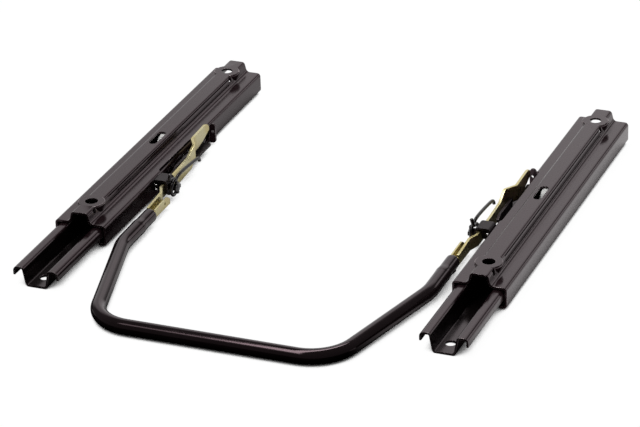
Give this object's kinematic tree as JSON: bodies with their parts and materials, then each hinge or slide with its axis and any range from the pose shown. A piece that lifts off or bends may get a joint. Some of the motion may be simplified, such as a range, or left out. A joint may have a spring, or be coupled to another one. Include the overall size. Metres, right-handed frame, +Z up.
{
  "type": "seat slide rail set",
  "caption": "Mirrored steel seat slides with sprung lock levers, joined by a bent tube bar that releases the lock when lifted.",
  "frame": {"origin": "centre of the four floor bolt holes, on the floor plane", "axes": "+X across the set to its right, +Y to the rear along the rails, +Z up"},
  "size_m": [0.43, 0.511, 0.0312],
  "materials": {
    "rail_black": "satin black dip coat",
    "small_black": "satin black",
    "bar_black": "gloss black",
    "yellow_zinc": "yellow zinc plate",
    "spring_steel": "oiled dark wire",
    "nylon": "moulded"
  },
  "bodies": {
    "floor_rails": {"left_floor_rail": "rail_black", "right_floor_rail": "rail_black"},
    "seat_rails": {"left_seat_rail": "rail_black", "right_seat_rail": "rail_black", "left_pivot_bracket": "small_black", "right_pivot_bracket": "small_black", "left_pivot_stud": "small_black", "right_pivot_stud": "small_black", "left_spacer_bush": "small_black", "right_spacer_bush": "small_black", "left_stud_clip": "spring_steel", "right_stud_clip": "spring_steel"},
    "bar_and_levers": {"release_bar": "bar_black", "left_lock_lever": "yellow_zinc", "right_lock_lever": "yellow_zinc", "left_lock_comb": "small_black", "right_lock_comb": "small_black", "left_lever_spring": "spring_steel", "right_lever_spring": "spring_steel"},
    "left_cage": {"left_roller_cage": "small_black"},
    "right_cage": {"right_roller_cage": "small_black"},
    "left_roller_1": {"left_front_roller": "nylon"},
    "left_roller_2": {"left_rear_roller": "nylon"},
    "right_roller_1": {"right_front_roller": "nylon"},
    "right_roller_2": {"right_rear_roller": "nylon"}
  },
  "joints": [
    {"name": "seat_slide", "type": "slide", "parent": "floor_rails", "child": "seat_rails", "axis": [0, 1, 0], "range_m": [-0.18, 0]},
    {"name": "bar_lift", "type": "hinge", "parent": "seat_rails", "child": "bar_and_levers", "pos_m": [0, 0.021, 0.013], "axis": [-1, 0, 0], "range_deg": [-1.5, 3], "stiffness_Nm_per_rad": 2, "springref_deg": -17.19},
    {"name": "left_cage_slide", "type": "slide", "parent": "floor_rails", "child": "left_cage", "axis": [0, 1, 0], "range_m": [-0.09, 0]},
    {"name": "right_cage_slide", "type": "slide", "parent": "floor_rails", "child": "right_cage", "axis": [0, 1, 0], "range_m": [-0.09, 0]},
    {"name": "left_front_roll", "type": "hinge", "parent": "left_cage", "child": "left_roller_1", "pos_m": [-0.19, -0.015, 0.0156], "axis": [-1, 0, 0], "range_deg": [-388, 1]},
    {"name": "left_rear_roll", "type": "hinge", "parent": "left_cage", "child": "left_roller_2", "pos_m": [-0.19, 0.095, 0.0156], "axis": [-1, 0, 0], "range_deg": [-388, 1]},
    {"name": "right_front_roll", "type": "hinge", "parent": "right_cage", "child": "right_roller_1", "pos_m": [0.19, -0.015, 0.0156], "axis": [-1, 0, 0], "range_deg": [-388, 1]},
    {"name": "right_rear_roll", "type": "hinge", "parent": "right_cage", "child": "right_roller_2", "pos_m": [0.19, 0.095, 0.0156], "axis": [-1, 0, 0], "range_deg": [-388, 1]}
  ],
  "couplings": [
    {"joint": "left_cage_slide", "follows": "seat_slide", "ratio": 0.5},
    {"joint": "right_cage_slide", "follows": "seat_slide", "ratio": 0.5},
    {"joint": "left_front_roll", "follows": "seat_slide", "rad_per_m": 37.594},
    {"joint": "left_rear_roll", "follows": "seat_slide", "rad_per_m": 37.594},
    {"joint": "right_front_roll", "follows": "seat_slide", "rad_per_m": 37.594},
    {"joint": "right_rear_roll", "follows": "seat_slide", "rad_per_m": 37.594}
  ]
}
